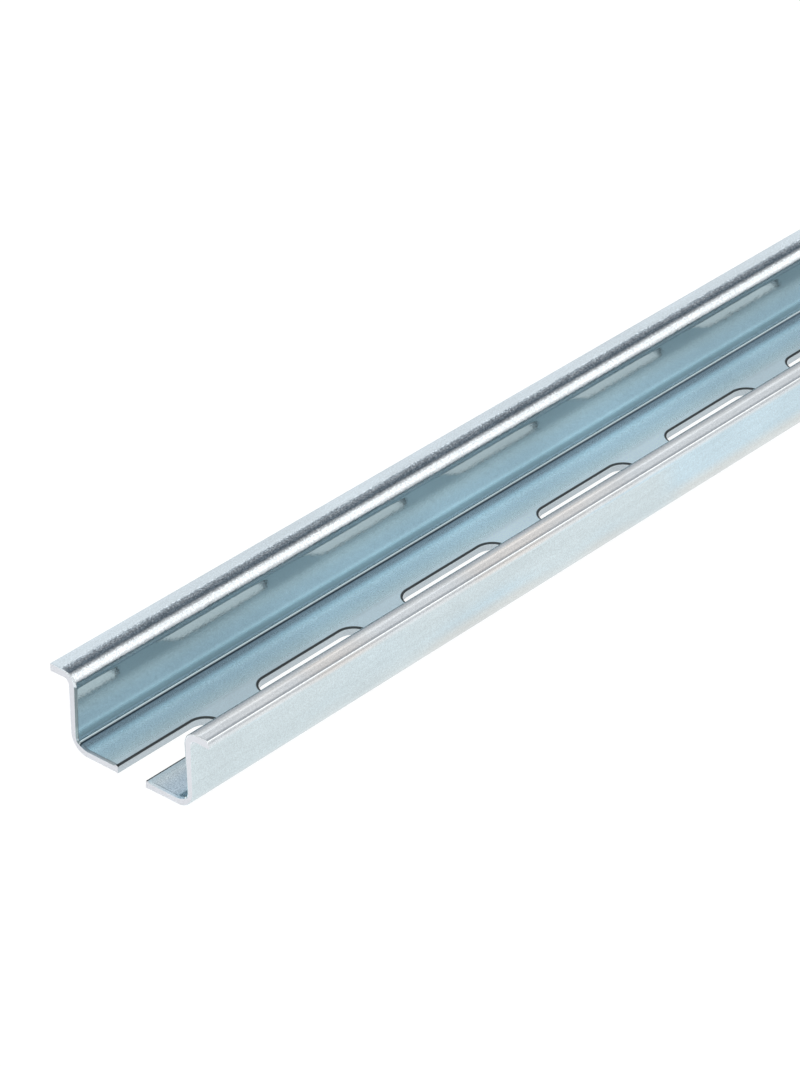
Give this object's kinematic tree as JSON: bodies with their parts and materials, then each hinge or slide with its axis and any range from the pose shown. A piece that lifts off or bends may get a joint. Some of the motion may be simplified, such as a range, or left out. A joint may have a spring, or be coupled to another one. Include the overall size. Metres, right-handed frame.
{
  "type": "din rail",
  "caption": "Straight top hat mounting rail bent from one steel strip, with two outward flanges and a row of long slots down the web.",
  "frame": {"origin": "middle of the rail's length and width, on the web's underside", "axes": "+X along the rail, away from the end where the cut has opened a slot; +Y across it; +Z from the web up to the flanges"},
  "size_m": [1, 0.035, 0.015],
  "materials": {
    "zinc_steel": "satin"
  },
  "bodies": {
    "root": {"din_rail": "zinc_steel"}
  },
  "joints": []
}
